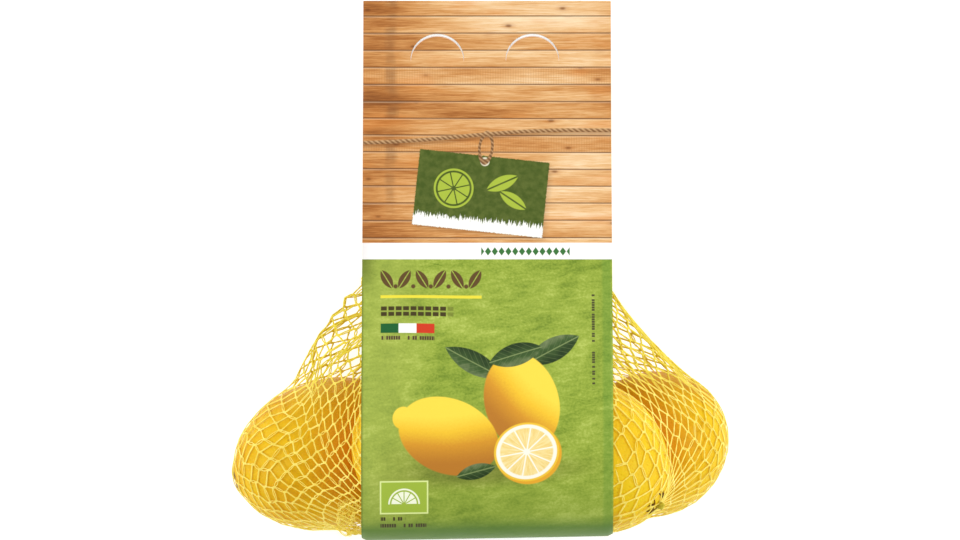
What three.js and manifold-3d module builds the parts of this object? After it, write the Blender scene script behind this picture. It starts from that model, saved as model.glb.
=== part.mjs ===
// A net of lemons, lying on its back.
//
// Five lemons sit in a tube of knitted netting: three in a row on the floor and two on top of them.
// A printed film band runs over the lemons, folds round under them and comes back up, and its two
// plies meet at the neck, where the netting is welded between them. Past the neck the plies lie
// flat on each other as a header with two finger slits, which slopes down to the floor.
//
// Two solids: the netting with the lemons inside it, and the film band.
// Millimetres. +X runs across the band, +Y towards the header's free edge, +Z up, floor at Z = 0.

import * as THREE from "three";
import { mergeVertices } from "three/addons/utils/BufferGeometryUtils.js";
import Module from "manifold-3d";

const wasm = await Module();
wasm.setup();

// ---------------------------------------------------------------- driving sizes

const BAND_WIDTH = 105;
const BAND_CENTRE_X = 3.1;
const BAND_STEPS = 10; // straight lengths that the band is made of across its width
const PLY = 0.6; // one ply of film, thick enough for a solid
const GAP = 0.35; // between the netting and the film

const HEADER_END_Y = 114;
const NECK_Y = 4;
const NECK_Z = 60;
const MOUTH_Y = NECK_Y - 1.2; // where the two plies part
const NET_END_Y = NECK_Y - 3.4; // the netting's welded end, between the plies
const PILE_TOP_Z = 122; // outside of the film over the upper lemons
const FOLD_Y = -112.4; // outside of the fold past the lemons
const FOLD_SKEW = 0.018; // the fold runs a little out of square to the band
const EDGE_DROPS = [8, 3]; // how far the band's left and right edges sink over the upper lemons

// Points of the band's side outline, as [y, z]: the handles of its curves and where they join.
const HEADER_HANDLES = [[85, 1.6], [38, 36]];
const SLOPE_HANDLES = [[-16, 76], [-44, 111]];
const PILE_START = [-62, PILE_TOP_Z - 3];
const PILE_HANDLES = [[-72, PILE_TOP_Z + 1], [-90, PILE_TOP_Z + 1]];
const PILE_END = [-100, PILE_TOP_Z - 4.5];
const SHOULDER_HANDLES = [[-109, PILE_TOP_Z - 10], [FOLD_Y, 101]];
const FOLD_TOP = [FOLD_Y, 88];
const FOLD_FOOT = [FOLD_Y, 34];
const FOOT_HANDLES = [[FOLD_Y, 14], [-106, 0]];
const FLAT_START = [-88, 0];
const FLAT_END = [-62, 0];
const UNDER_HANDLES = [[-50, 0], [-20, 37]];
const PLY_POINTS = 26; // along each ply of the loop
const HEADER_POINTS = 16;

const SLIT_RADIUS = 11.3;
const SLIT_OPEN = 1.1; // width of the crescent at its middle
const SLIT_TIP = 0.15; // width left at the crescent's two ends
const SLIT_CENTRE_Y = 89.3;
const SLIT_CENTRES_X = [-18, 22.3];
const SLIT_SEGMENTS = 20;

const NECK_HALF_WIDTH = 47.6;
const SEAM_HALF_WIDTH = 57;
const SEAM_CENTRE_X = 1;
const SEAM_Y = -110.4;
const SEAM_Z = 52;
const WELD_HALF_THICKNESS = 0.8;
const NETTING_STAND_OFF = 0.9; // from the peel to the outside of the netting

// Each lemon's centre, half length, radius, the heading of its long axis from +X and its rise.
const LEMONS = [
  { centre: [-63, -77.4, 32.3], halfLength: 42.4, radius: 31.4, heading: 196, rise: 0 },
  { centre: [9.5, -75, 31.5], halfLength: 34, radius: 29.6, heading: 86, rise: 4 },
  { centre: [72.9, -73.2, 33.1], halfLength: 34.5, radius: 30.4, heading: 24, rise: 40 },
  { centre: [-22.8, -73.9, 84.8], halfLength: 34.5, radius: 31.2, heading: 80, rise: 0 },
  { centre: [44.6, -76.9, 87.9], halfLength: 39.6, radius: 30.6, heading: 145, rise: -18 },
];
// The nipple at a lemon's blossom end, as shares of its half length and radius.
const BODY_SHARE = 0.95;
const NIPPLE_CENTRE_SHARE = 0.8;
const NIPPLE_LENGTH_SHARE = 0.2;
const NIPPLE_RADIUS_SHARE = 0.36;

// ---------------------------------------------------------------- small helpers

/** A closed manifold-3d solid from a three.js geometry. */
function solidFrom(geometry) {
  const bare = geometry.clone();
  bare.deleteAttribute("normal");
  bare.deleteAttribute("uv");
  const merged = mergeVertices(bare, 1e-3);
  return new wasm.Manifold(
    new wasm.Mesh({
      numProp: 3,
      vertProperties: merged.attributes.position.array,
      triVerts: new Uint32Array(merged.index.array),
    }),
  );
}

/** A three.js geometry from a manifold-3d solid. */
function geometryFrom(solid) {
  const mesh = solid.getMesh();
  const geometry = new THREE.BufferGeometry();
  geometry.setAttribute("position", new THREE.BufferAttribute(mesh.vertProperties, 3));
  geometry.setIndex(new THREE.BufferAttribute(mesh.triVerts, 1));
  geometry.computeVertexNormals();
  return geometry;
}

/** z on a line of points {x: y, y: z} at a given y, between the two points around it. */
function heightAt(line, y) {
  for (let i = 1; i < line.length; i++) {
    const a = line[i - 1];
    const b = line[i];
    if ((a.x - y) * (b.x - y) <= 0 && a.x !== b.x) {
      return a.y + ((b.y - a.y) * (y - a.x)) / (b.x - a.x);
    }
  }
  const nearest = Math.abs(line[0].x - y) < Math.abs(line.at(-1).x - y) ? line[0] : line.at(-1);
  return nearest.y;
}

/** The points moved sideways by a distance, to the left of their direction of travel. */
function offsetLine(points, distance) {
  return points.map((point, i) => {
    const before = points[Math.max(i - 1, 0)];
    const after = points[Math.min(i + 1, points.length - 1)];
    const along = after.clone().sub(before).normalize();
    return new THREE.Vector2(point.x - along.y * distance, point.y + along.x * distance);
  });
}

// ---------------------------------------------------------------- the film band

/** Adds to a path the curve with these two handles that ends at a point. */
function curve(path, handles, end) {
  path.bezierCurveTo(...handles[0], ...handles[1], ...end);
}

/** The header's upper side, from its free edge to the neck, in the plane of (y, z). */
function headerLine() {
  const path = new THREE.Path();
  path.moveTo(HEADER_END_Y, 2 * PLY);
  curve(path, HEADER_HANDLES, [NECK_Y, NECK_Z + PLY]);
  return path.getSpacedPoints(HEADER_POINTS);
}

/** The outside of the upper ply, from the neck over the lemons to the fold. */
function upperPlyLine() {
  const path = new THREE.Path();
  path.moveTo(NECK_Y, NECK_Z + PLY);
  curve(path, SLOPE_HANDLES, PILE_START);
  curve(path, PILE_HANDLES, PILE_END);
  curve(path, SHOULDER_HANDLES, FOLD_TOP);
  return path.getSpacedPoints(PLY_POINTS);
}

/** The outside of the lower ply, from the fold down, along the floor and up to the neck. */
function lowerPlyLine() {
  const path = new THREE.Path();
  path.moveTo(...FOLD_TOP);
  path.lineTo(...FOLD_FOOT);
  curve(path, FOOT_HANDLES, FLAT_START);
  path.lineTo(...FLAT_END);
  curve(path, UNDER_HANDLES, [NECK_Y, NECK_Z - PLY]);
  return path.getSpacedPoints(PLY_POINTS).slice(1);
}

/** How much further along the band is at a place, since the fold runs out of square. */
function skewAt(x, y) {
  return FOLD_SKEW * (x - BAND_CENTRE_X) * THREE.MathUtils.smoothstep(-y, -NECK_Y, -FOLD_Y);
}

/** How much lower the upper ply lies towards its long edges, beside the upper lemons. */
function edgeDropAt(x, z) {
  const across = THREE.MathUtils.clamp((x - BAND_CENTRE_X) / (BAND_WIDTH / 2), -1, 1);
  const drop = EDGE_DROPS[across < 0 ? 0 : 1] * Math.pow(Math.abs(across), 3);
  return drop * THREE.MathUtils.smoothstep(z, NECK_Z, PILE_TOP_Z);
}

const upperPly = upperPlyLine();
const lowerPly = lowerPlyLine();
const loop = [...upperPly, ...lowerPly];

/** A crescent through the header: a half circle less a slightly smaller one set lower. */
function slitCutter(centreX) {
  const crescent = new THREE.Shape();
  crescent.absarc(0, 0, SLIT_RADIUS, 0, Math.PI, false);
  crescent.absarc(0, -SLIT_OPEN, SLIT_RADIUS - SLIT_TIP, Math.PI, 0, true);
  const geometry = new THREE.ExtrudeGeometry(crescent, {
    depth: NECK_Z,
    bevelEnabled: false,
    curveSegments: SLIT_SEGMENTS,
  });
  geometry.translate(centreX, SLIT_CENTRE_Y, -PLY);
  return solidFrom(geometry);
}

/** The band: its section swept across its width in steps, less the two slits. */
function filmBand() {
  const headerTop = headerLine().slice(0, -1);
  const headerUnder = offsetLine(headerLine(), 2 * PLY).slice(0, -1);
  const inside = offsetLine(loop, PLY);
  inside[0].set(MOUTH_Y, heightAt(inside.slice(0, upperPly.length), MOUTH_Y));
  inside[inside.length - 1].set(MOUTH_Y, heightAt(inside.slice(upperPly.length), MOUTH_Y));

  // One section of the band: the header's pairs of points, then the loop's.
  const section = [...headerTop, ...headerUnder, ...loop, ...inside];
  const underStart = headerTop.length;
  const loopStart = underStart + headerUnder.length;
  const insideStart = loopStart + loop.length;
  const last = loop.length - 1;
  const walls = [];
  const sides = [];
  for (let i = 0; i + 1 < headerTop.length; i++) {
    walls.push([i, i + 1], [underStart + i + 1, underStart + i]);
    sides.push([i, i + 1, underStart + i + 1, underStart + i]);
  }
  for (let i = 0; i < last; i++) {
    walls.push([loopStart + i, loopStart + i + 1], [insideStart + i + 1, insideStart + i]);
    sides.push([loopStart + i, loopStart + i + 1, insideStart + i + 1, insideStart + i]);
  }
  const endOfTop = underStart - 1;
  const endOfUnder = loopStart - 1;
  walls.push(
    [underStart, 0],
    [endOfTop, loopStart],
    [loopStart + last, endOfUnder],
    [insideStart, insideStart + last],
  );
  sides.push(
    [endOfTop, loopStart, loopStart + last, endOfUnder],
    [loopStart, insideStart, insideStart + last, loopStart + last],
  );

  const points = [];
  const index = [];
  const quad = (a, b, c, d) => index.push(a, b, c, a, c, d);
  for (let step = 0; step <= BAND_STEPS; step++) {
    const start = step * section.length;
    for (const { x: y, y: z } of section) {
      const x = BAND_CENTRE_X + BAND_WIDTH * (step / BAND_STEPS - 0.5);
      points.push(new THREE.Vector3(x, y + skewAt(x, y), z - edgeDropAt(x, z)));
    }
    if (step === 0) sides.forEach(([a, b, c, d]) => quad(d, c, b, a));
    if (step === BAND_STEPS) {
      sides.forEach(([a, b, c, d]) => quad(start + a, start + b, start + c, start + d));
    } else {
      const next = start + section.length;
      walls.forEach(([a, b]) => quad(start + a, start + b, next + b, next + a));
    }
  }
  const geometry = new THREE.BufferGeometry().setFromPoints(points);
  geometry.setIndex(index);
  const slits = SLIT_CENTRES_X.map(slitCutter);
  return geometryFrom(slits.reduce((band, slit) => band.subtract(slit), solidFrom(geometry)));
}

// ---------------------------------------------------------------- the netting round the lemons

const LOOSE_BELLY = 88; // how far the tube stands out before it is drawn tight
const AROUND = 96;
const ALONG = 46;
const PASSES = 1500;
// The share of the way to its neighbours that a point moves in one pass: beside the neck, where
// the hoops are slack and the fans run straight to the lemons, and over the pile, where the
// hoops are stretched straight from lemon to lemon.
const HOOP_PULLS = [0.05, 0.25];
const LENGTH_PULLS = [0.2, 0.1];
const SLACK_LENGTH = 0.8;
const TAUT_RISE_Y = [-42, -62]; // where the hoops become taut
const TAUT_FALL_Y = [-96, -104]; // where they become slack again, towards the seam
const BAND_MARGIN = 4; // how far beside the band the netting still runs as it does inside it
const CLEAR_MARGIN = 10; // how far beside the band it is wholly free

// How far the left and the right fan stand out, between these two places along the pack.
const FAN_BULGES = [4.3, -1.2];
const FAN_START_Y = -1;
const FAN_END_Y = -49;
const FAN_MARGIN = 6; // how far beside the band the bulge is whole

/** The one or two ellipsoids that a lemon fills: its body, and the nipple at its blossom end. */
function lemonForms(lemon) {
  const heading = THREE.MathUtils.degToRad(lemon.heading);
  const rise = THREE.MathUtils.degToRad(lemon.rise);
  const axis = new THREE.Vector3(
    Math.cos(heading) * Math.cos(rise),
    Math.sin(heading) * Math.cos(rise),
    Math.sin(rise),
  );
  const turn = new THREE.Quaternion().setFromUnitVectors(new THREE.Vector3(1, 0, 0), axis);
  const centre = new THREE.Vector3(...lemon.centre);
  const { halfLength, radius } = lemon;
  const form = (at, length, width) => ({
    centre: centre.clone().addScaledVector(axis, at),
    turn,
    back: turn.clone().invert(),
    size: new THREE.Vector3(length, width, width).addScalar(NETTING_STAND_OFF),
  });
  return [
    form(0, halfLength * BODY_SHARE, radius),
    form(
      halfLength * NIPPLE_CENTRE_SHARE,
      halfLength * NIPPLE_LENGTH_SHARE,
      radius * NIPPLE_RADIUS_SHARE,
    ),
  ];
}

const forms = LEMONS.flatMap(lemonForms);

/** Moves a point that is inside a lemon out to its surface. */
function pushOut(point) {
  const local = new THREE.Vector3();
  for (const form of forms) {
    local.copy(point).sub(form.centre).applyQuaternion(form.back).divide(form.size);
    const depth = local.length();
    if (depth < 1 && depth > 0) {
      local.divideScalar(depth).multiply(form.size).applyQuaternion(form.turn);
      point.copy(local).add(form.centre);
    }
  }
}

const bandInside = offsetLine(loop, PLY + GAP);
const upperInside = bandInside.slice(0, upperPly.length);
const lowerInside = bandInside.slice(upperPly.length);

/** Keeps a point above the floor and, where the band passes, inside the film. */
function keepInside(point) {
  const beside = Math.abs(point.x - BAND_CENTRE_X) - BAND_WIDTH / 2;
  const clear = THREE.MathUtils.smoothstep(beside, BAND_MARGIN, CLEAR_MARGIN);
  point.z = Math.max(point.z, 0);
  if (clear === 1) return;
  const skew = skewAt(point.x, point.y);
  point.y = Math.max(point.y, THREE.MathUtils.lerp(FOLD_Y + PLY + GAP + skew, point.y, clear));
  const y = point.y - skew;
  const flatTop = heightAt(upperInside, y);
  const top = flatTop - edgeDropAt(point.x, flatTop);
  const bottom = heightAt(lowerInside, y);
  const held = Math.min(Math.max(point.z, bottom), top);
  point.z = THREE.MathUtils.lerp(held, point.z, clear);
}

/** Moves a point of a fan outwards, where the netting hangs slack, or inwards. */
function bulgeFan(point) {
  const side = Math.sign(point.x - BAND_CENTRE_X);
  const beside = Math.abs(point.x - BAND_CENTRE_X) - BAND_WIDTH / 2;
  const along = THREE.MathUtils.clamp((point.y - FAN_START_Y) / (FAN_END_Y - FAN_START_Y), 0, 1);
  const swell = Math.sin(Math.PI * along) * THREE.MathUtils.smoothstep(beside, 0, FAN_MARGIN);
  point.x += side * swell * FAN_BULGES[side < 0 ? 0 : 1];
}

/** A loose tube round the lemons, flat where it is welded at the neck and along the seam. */
function looseTube() {
  const points = [];
  for (let j = 0; j <= ALONG; j++) {
    const t = j / ALONG;
    const belly = LOOSE_BELLY * Math.sqrt(Math.sin(Math.PI * t));
    const halfWidth = THREE.MathUtils.lerp(NECK_HALF_WIDTH, SEAM_HALF_WIDTH, t) + belly;
    const halfHeight = WELD_HALF_THICKNESS + belly;
    for (let i = 0; i < AROUND; i++) {
      const angle = (2 * Math.PI * i) / AROUND;
      points.push(
        new THREE.Vector3(
          SEAM_CENTRE_X * t + halfWidth * Math.cos(angle),
          THREE.MathUtils.lerp(NET_END_Y, SEAM_Y, t),
          THREE.MathUtils.lerp(NECK_Z, SEAM_Z, t) + halfHeight * Math.sin(angle),
        ),
      );
    }
  }
  return points;
}

/** From 0 where the hoops are slack to 1 where they are stretched over the pile. */
function tautAt(y) {
  const rise = THREE.MathUtils.smoothstep(-y, -TAUT_RISE_Y[0], -TAUT_RISE_Y[1]);
  return rise * (1 - THREE.MathUtils.smoothstep(-y, -TAUT_FALL_Y[0], -TAUT_FALL_Y[1]));
}

/** Draws the loose tube tight on the lemons, as the stretched netting lies. */
function drawTight(points) {
  const at = (i, j) => points[j * AROUND + ((i + AROUND) % AROUND)];
  const hoop = new THREE.Vector3();
  const length = new THREE.Vector3();
  for (let pass = 0; pass < PASSES; pass++) {
    for (let j = 1; j < ALONG; j++) {
      const slackPull = HOOP_PULLS[0] * THREE.MathUtils.smoothstep(j / ALONG, 0, SLACK_LENGTH);
      for (let i = 0; i < AROUND; i++) {
        const point = at(i, j);
        hoop.copy(at(i - 1, j)).add(at(i + 1, j)).multiplyScalar(0.5).sub(point);
        length.copy(at(i, j - 1)).add(at(i, j + 1)).multiplyScalar(0.5).sub(point);
        const taut = tautAt(point.y);
        point.addScaledVector(hoop, 2 * THREE.MathUtils.lerp(slackPull, HOOP_PULLS[1], taut));
        point.addScaledVector(length, 2 * THREE.MathUtils.lerp(...LENGTH_PULLS, taut));
        pushOut(point);
        keepInside(point);
      }
    }
  }
  points.forEach(bulgeFan);
  return points;
}

function netOfLemons() {
  const points = drawTight(looseTube());
  const index = [];
  for (let j = 0; j < ALONG; j++) {
    for (let i = 0; i < AROUND; i++) {
      const next = (i + 1) % AROUND;
      const a = j * AROUND + i;
      const b = j * AROUND + next;
      const c = a + AROUND;
      const d = b + AROUND;
      index.push(a, b, c, b, d, c);
    }
  }
  // Each welded end is a flat ring, closed by a fan from its middle.
  const capRing = (start, facing) => {
    const ring = points.slice(start, start + AROUND);
    const middle = ring.reduce((sum, p) => sum.add(p), new THREE.Vector3());
    points.push(middle.divideScalar(AROUND));
    for (let i = 0; i < AROUND; i++) {
      const a = start + i;
      const b = start + ((i + 1) % AROUND);
      index.push(...(facing ? [b, a, points.length - 1] : [a, b, points.length - 1]));
    }
  };
  capRing(0, true);
  capRing(ALONG * AROUND, false);
  const geometry = new THREE.BufferGeometry().setFromPoints(points);
  geometry.setIndex(index);
  geometry.computeVertexNormals();
  return geometry;
}

// ---------------------------------------------------------------- the pack

const netting = new THREE.MeshStandardMaterial({ color: 0xf2bf1d, roughness: 0.5, metalness: 0 });
const film = new THREE.MeshStandardMaterial({ color: 0x8fae45, roughness: 0.35, metalness: 0 });

function named(name, geometry, material) {
  const mesh = new THREE.Mesh(geometry, material);
  mesh.name = name;
  return mesh;
}

const pack = new THREE.Group();
pack.add(named("net_of_lemons", netOfLemons(), netting));
pack.add(named("film_band", filmBand(), film));

export default pack;
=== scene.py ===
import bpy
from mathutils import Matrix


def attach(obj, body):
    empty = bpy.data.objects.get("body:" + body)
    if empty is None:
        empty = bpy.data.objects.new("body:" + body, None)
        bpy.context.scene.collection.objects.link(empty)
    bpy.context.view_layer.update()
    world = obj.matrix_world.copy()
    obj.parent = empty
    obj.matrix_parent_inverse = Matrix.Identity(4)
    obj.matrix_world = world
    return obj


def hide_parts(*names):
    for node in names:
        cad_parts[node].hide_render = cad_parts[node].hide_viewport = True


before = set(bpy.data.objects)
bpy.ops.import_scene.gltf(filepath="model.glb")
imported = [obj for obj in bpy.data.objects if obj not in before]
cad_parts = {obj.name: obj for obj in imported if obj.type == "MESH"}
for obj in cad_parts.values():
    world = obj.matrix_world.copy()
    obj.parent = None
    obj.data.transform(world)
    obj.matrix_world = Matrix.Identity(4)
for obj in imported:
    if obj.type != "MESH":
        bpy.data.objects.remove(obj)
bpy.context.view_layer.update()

# A net of lemons, lying on its back: five lemons in a tube of knitted netting, held by a printed
# film band with a header. Sizes are millimetres until a mesh is finished, and then metres.

import math

import bmesh
import bpy
import numpy as np
from mathutils import Matrix, Vector, noise

MM = 0.001
BODY = "root"
random = np.random.default_rng(11)

# ---- sizes, as in the solids

BAND_WIDTH = 105
BAND_CENTRE_X = 3.1
PLY = 0.6
GAP = 0.35
HEADER_END_Y = 114
NECK_Y = 4
NECK_Z = 60
NET_END_Y = NECK_Y - 3.4
PILE_TOP_Z = 122
FOLD_Y = -112.4
FOLD_SKEW = 0.018
EDGE_DROPS = (8, 3)
UNDER_START = (-88, 0)

# The band's side outline as (y, z): curves with two handles and an end, or a plain end.
HEADER_CURVES = [((85, 1.6), (38, 36), (NECK_Y, NECK_Z + PLY))]
UPPER_CURVES = [
    ((-16, 76), (-44, 111), (-62, PILE_TOP_Z - 3)),
    ((-72, PILE_TOP_Z + 1), (-90, PILE_TOP_Z + 1), (-100, PILE_TOP_Z - 4.5)),
    ((-109, PILE_TOP_Z - 10), (FOLD_Y, 101), (FOLD_Y, 88)),
]
LOWER_CURVES = [
    (FOLD_Y, 34),
    ((FOLD_Y, 14), (-106, 0), UNDER_START),
    (-62, 0),
    ((-50, 0), (-20, 37), (NECK_Y, NECK_Z - PLY)),
]

SLIT_RADIUS = 11.3
SLIT_OPEN = 1.1
SLIT_TIP = 0.15
SLIT_CENTRE_Y = 89.3
SLIT_CENTRES_X = (-18, 22.3)

NECK_HALF_WIDTH = 47.6
SEAM_HALF_WIDTH = 57
SEAM_CENTRE_X = 1
SEAM_Y = -110.4
SEAM_Z = 52
WELD_HALF_THICKNESS = 0.8
LOOSE_BELLY = 88
AROUND = 96
ALONG = 46
HOOP_PULLS = (0.05, 0.25)  # beside the neck, and over the pile of lemons
LENGTH_PULLS = (0.2, 0.1)
SLACK_LENGTH = 0.8
TAUT_RISE_Y = (-42, -62)
TAUT_FALL_Y = (-96, -104)
BAND_MARGIN = 4
CLEAR_MARGIN = 10
FAN_BULGES = (4.3, -1.2)  # of the left and the right fan
FAN_START_Y = -1
FAN_END_Y = -49
FAN_MARGIN = 6

# Each lemon: name, centre, half length, radius, heading of the blossom end from +X, rise.
LEMONS = [
    ("lemon_left", (-63, -77.4, 32.3), 42.4, 31.4, 196, 0),
    ("lemon_middle", (9.5, -75, 31.5), 34, 29.6, 86, 4),
    ("lemon_right", (72.9, -73.2, 33.1), 34.5, 30.4, 24, 40),
    ("lemon_upper_left", (-22.8, -73.9, 84.8), 34.5, 31.2, 80, 0),
    ("lemon_upper_right", (44.6, -76.9, 87.9), 39.6, 30.6, 145, -18),
]
# How ripe each peel is, how much deeper orange is painted on towards the header as shade, and how
# far its scar shows.
RIPENESS = (0.46, 0.62, 0.26, 0.42, 0.12)
SHADED_TOPS = (0.3, 0.0, 0.6, 0.1, 0.2)
SHADED_TOP_Y = (-62, -47)
SCARS = (1.0, 0.97, 0.93, 0.97, 0.97)
CREVICE_SHADE_REACH = 30  # how far off another lemon the painted shade between lemons still reaches

# Where each ellipse of a lemon's outline lies, in half lengths, and its radius in radii.
LEMON_OUTLINE = ((0, 0.95, 1), (0.8, 0.2, 0.36), (-0.87, 0.11, 0.25))
STEM_END = -0.98
LEMON_STEPS = 64
LEMON_SIDES = 96
CALYX_RADIUS = 6
CALYX_SEAT = -0.975

# ---- sizes of the fine pieces

VIEW_WIDTH = 406.5  # of the plane half way up the pack
CAMERA_DISTANCE = 6000
CAMERA_FIT = 1.008
LIGHTS = (
    ("left_softbox", (-1.3, -0.2, 0.75), (0.9, 0.9), 8.5),
    ("right_softbox", (1.3, -0.1, 0.75), (0.9, 0.9), 9.5),
    ("top_softbox", (0.0, 0.9, 1.6), (1.4, 1.0), 4.6),
    ("upper_left_softbox", (-0.9, 1.2, 0.7), (0.6, 0.6), 2.5),
    ("upper_right_softbox", (0.9, 1.2, 0.7), (0.6, 0.6), 2.5),
)

PASSES = 2200
SPREAD_PASSES = 200
NETTING_STAND_OFF = 0.45  # of the yarns' middle from the peel
CELLS_AROUND = 57
COLUMNS = 192
CELL_SIDE = 6.2
FLATTEST_CELL = 0.3  # lowest half height of a cell, as a share of its side
FILAMENT_RADIUS = 0.18
FILAMENT_OFFSET = 0.18  # of the two filaments from the middle of their yarn
TIE_HALF_LENGTH = 0.75  # where two yarns run side by side in a knot
TIE_OFFSET = 0.2
SIDE_SHARES = (0.0, 0.2, 0.4, 0.6, 0.8, 1.0)
PARTED_YARNS = 0.3
PARTED_BY = (0.15, 0.42)
NETTING_PIECES = 5
FAN_GATHER = 0.35  # how much denser the netting lies under the film than beside it
PILE_GATHER = -0.2
FOOT_GATHER = 0.25
PILE_START_Y = (-30, -60)
FOOT_START_Y = (-82, -106)
# Folds of netting: places round the tube near the neck and by the lemons, width, and how far
# the netting is drawn together.
FAN_FOLDS = (
    (0.5, 0.5, 0.010, 0.85),
    (0.452, 0.485, 0.028, 0.85),
    (0.548, 0.515, 0.028, 0.85),
    (0.0, 0.0, 0.024, 0.8),
)
FOLD_RUN = (0.2, 0.42)  # where along the tube the folds cross the fans
FAN_THREAD = 1.5  # how much thicker the yarn swells where it hangs slack in the fans
SLACK_Y = (-56, -38)
TURN_CENTRE = (-80, -78, 62)  # the pattern is dragged round here, by as many degrees
TURN_REACH = 60
TURN_ANGLE = -12
NUDGE = 1e-3
DRIFT_WAVES = ((2, 1, 0.30), (5, 2, 0.20), (9, 3, 0.12))  # waves around and along, and size
DRIFT_START = (0.15, 0.45)
JITTER = 0.05
TUFT_LOOPS = 34
TUFT_PLACE = (-55.2, -103.2, 54)
TUFT_REACH = (3.2, 7.2, 3.0)
SEAM_SHARE = 0.94  # of the seam's width; the rest is torn off at the right

FILM = 0.2
FILM_CELL = 2.0
HEADER_LAY = 0.28  # of each ply's outside from the middle of the header
PRINT_TURN_Y = -107  # the print follows the view as far as here, and the film's length beyond
CORNER_ROUND = 1.0  # of the fold's ends
BACK_SHIFT = 1000  # added to the print's place to tell the back from the front
DENT_DEPTH = 1.1
DENT_X = 10
DENT_WIDTH = 15


# ---- lines and small sums


def smoothstep(low, high, value):
    share = np.clip((value - low) / (high - low), 0, 1)
    return share * share * (3 - 2 * share)


def lerp(start, end, share):
    return start + (end - start) * share


def norm(vectors):
    return np.linalg.norm(vectors, axis=-1)


def unit(vectors):
    return vectors / np.maximum(norm(vectors), 1e-9)[..., None]


def line_through(start, parts, steps=80):
    """Points along a chain of curves and straight lengths."""
    points = [np.array([start], float)]
    share = np.linspace(0, 1, steps + 1)[1:, None]
    back = 1 - share
    for part in parts:
        first = points[-1][-1]
        if np.isscalar(part[0]):
            points.append(lerp(first, np.array(part, float), share))
            continue
        near, far, end = np.array(part, float)
        bend = 3 * back**2 * share * near + 3 * back * share**2 * far
        points.append(back**3 * first + bend + share**3 * end)
    return np.concatenate(points)


def lengths_along(line):
    return np.concatenate([[0], np.cumsum(norm(np.diff(line, axis=0)))])


def left_of(line):
    """The unit vectors to the left of a line's direction of travel."""
    along = unit(np.gradient(line, axis=0))
    return np.stack([-along[:, 1], along[:, 0]], axis=1)


HEADER_LINE = line_through((HEADER_END_Y, 2 * PLY), HEADER_CURVES)
UPPER_LINE = line_through((NECK_Y, NECK_Z + PLY), UPPER_CURVES)
LOWER_LINE = line_through((FOLD_Y, 88), LOWER_CURVES)


def skew_at(x, y):
    return FOLD_SKEW * (x - BAND_CENTRE_X) * smoothstep(-NECK_Y, -FOLD_Y, -y)


def edge_drop_at(x, z):
    across = np.clip((x - BAND_CENTRE_X) / (BAND_WIDTH / 2), -1, 1)
    drop = np.where(across < 0, *EDGE_DROPS) * np.abs(across) ** 3
    return drop * smoothstep(NECK_Z, PILE_TOP_Z, z)


def beside_band(x):
    """How far beside the film a place lies, and below 0 where the film passes over it."""
    return np.abs(x - BAND_CENTRE_X) - BAND_WIDTH / 2


# ---- objects and meshes


def linked(name, data):
    made = bpy.data.objects.new(name, data)
    bpy.context.collection.objects.link(made)
    return made


def mesh_of(shape, name):
    mesh = bpy.data.meshes.new(name)
    shape.to_mesh(mesh)
    shape.free()
    return mesh


def vertices_of(extruded):
    return [part for part in extruded["geom"] if isinstance(part, bmesh.types.BMVert)]


def evaluated_mesh(rough):
    """The mesh that an object's modifiers or curve settings make."""
    depsgraph = bpy.context.evaluated_depsgraph_get()
    return bpy.data.meshes.new_from_object(rough.evaluated_get(depsgraph))


def gathered(items, name, width=1):
    """One property of all vertices, corners or faces of a mesh."""
    values = np.empty(len(items) * width, int if width == 1 else float)
    items.foreach_get(name, values)
    return values if width == 1 else values.reshape(-1, width)


def finished(shape, name, material):
    """The piece made from a bmesh in millimetres, in the place of the netted lemons."""
    bmesh.ops.scale(shape, vec=(MM, MM, MM), verts=shape.verts)
    return settled(mesh_of(shape, name), name, material, "net_of_lemons")


def settled(mesh, name, material, node):
    piece = linked(name, mesh)
    mesh.shade_smooth()
    if material is not None:
        mesh.materials.clear()
        mesh.materials.append(material)
    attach(piece, BODY)
    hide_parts(node)
    return piece


def add_attribute(piece, name, values):
    layer = piece.data.attributes.new(name, "FLOAT", "POINT")
    layer.data.foreach_set("value", np.array(values, np.float32))


# ---- camera and light


def place_camera():
    data = bpy.data.cameras.new("camera")
    data.sensor_width = 36
    data.lens = data.sensor_width * CAMERA_DISTANCE / VIEW_WIDTH * CAMERA_FIT
    data.clip_end = 100
    camera = linked("camera", data)
    camera.location = Vector((0.1, -0.2, CAMERA_DISTANCE + NECK_Z)) * MM
    bpy.context.scene.camera = camera


def light_scene():
    for name, place, size, power in LIGHTS:
        data = bpy.data.lights.new(name, "AREA")
        data.shape = "RECTANGLE"
        data.size, data.size_y = size
        data.energy = power
        light = linked(name, data)
        light.location = place
        light.rotation_euler = (-Vector(place)).to_track_quat("-Z", "Y").to_euler()
        light.visible_camera = False
    world = bpy.data.worlds.new("studio")
    world.use_nodes = True
    background = world.node_tree.nodes["Background"]
    background.inputs["Color"].default_value = (1, 1, 1, 1)
    background.inputs["Strength"].default_value = 0.55
    bpy.context.scene.world = world
    bpy.context.scene.view_settings.view_transform = "Standard"


# ---- node trees


def srgb(red, green, blue):
    """A linear colour from one given in the 0 to 255 of a colour picker."""
    linear = [
        part / 12.92 if part <= 0.04045 else ((part + 0.055) / 1.055) ** 2.4
        for part in (red / 255, green / 255, blue / 255)
    ]
    return (*linear, 1.0)


class Nodes:
    """A node tree, and a short way to put nodes in it."""

    def __init__(self, tree):
        self.tree = tree

    def plug(self, socket, value):
        if isinstance(value, Wire):
            self.tree.links.new(value.socket, socket)
        else:
            socket.default_value = value

    def node(self, kind, output, inputs=None, **settings):
        """An output of a new node with these settings, and with values or wires in its inputs."""
        node = self.tree.nodes.new("ShaderNode" + kind)
        for name, setting in settings.items():
            setattr(node, name, setting)
        for socket, value in (inputs or {}).items():
            self.plug(node.inputs[socket], value)
        return Wire(self.tree, node.outputs[output])


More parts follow.
